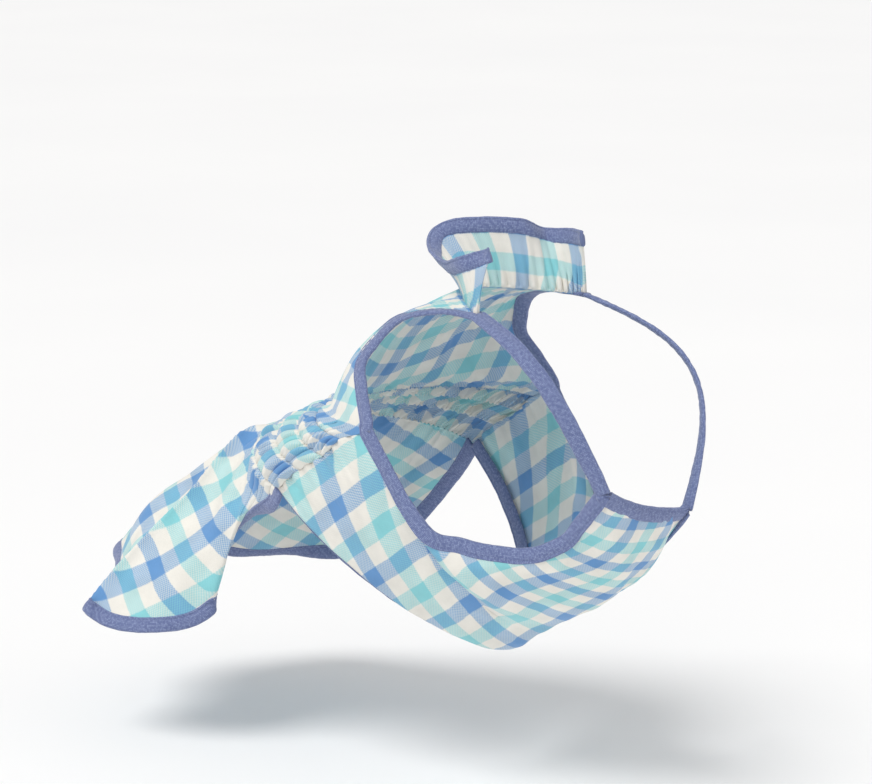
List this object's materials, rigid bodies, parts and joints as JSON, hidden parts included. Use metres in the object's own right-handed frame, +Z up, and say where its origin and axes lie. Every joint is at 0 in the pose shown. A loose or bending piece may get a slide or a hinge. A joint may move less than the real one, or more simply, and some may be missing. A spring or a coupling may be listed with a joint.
{
  "type": "dog dress",
  "caption": "Small dog's sleeveless dress in its worn form: yoke, shirred waist, flared skirt, chest and belly panel, neck frill and bound edges.",
  "frame": {"origin": "between the shoulder blades, where the yoke lies on the dog's back", "axes": "+Z up, -Y the way the dog faces, +X the dog's left side"},
  "size_m": [0.1502, 0.2734, 0.1766],
  "materials": {
    "plaid_cotton": "matt yarn-dyed plaid cotton",
    "blue_binding": "matt blue chambray bias binding"
  },
  "bodies": {
    "root": {"back_yoke": "plaid_cotton", "waist_shirring": "plaid_cotton", "skirt": "plaid_cotton", "belly_panel": "plaid_cotton", "neck_frill": "plaid_cotton", "armhole_binding_right": "blue_binding", "armhole_binding_left": "blue_binding", "shoulder_strap_right": "blue_binding", "shoulder_strap_left": "blue_binding", "bib_binding": "blue_binding", "belly_binding": "blue_binding", "skirt_binding": "blue_binding", "frill_binding": "blue_binding"}
  },
  "joints": []
}
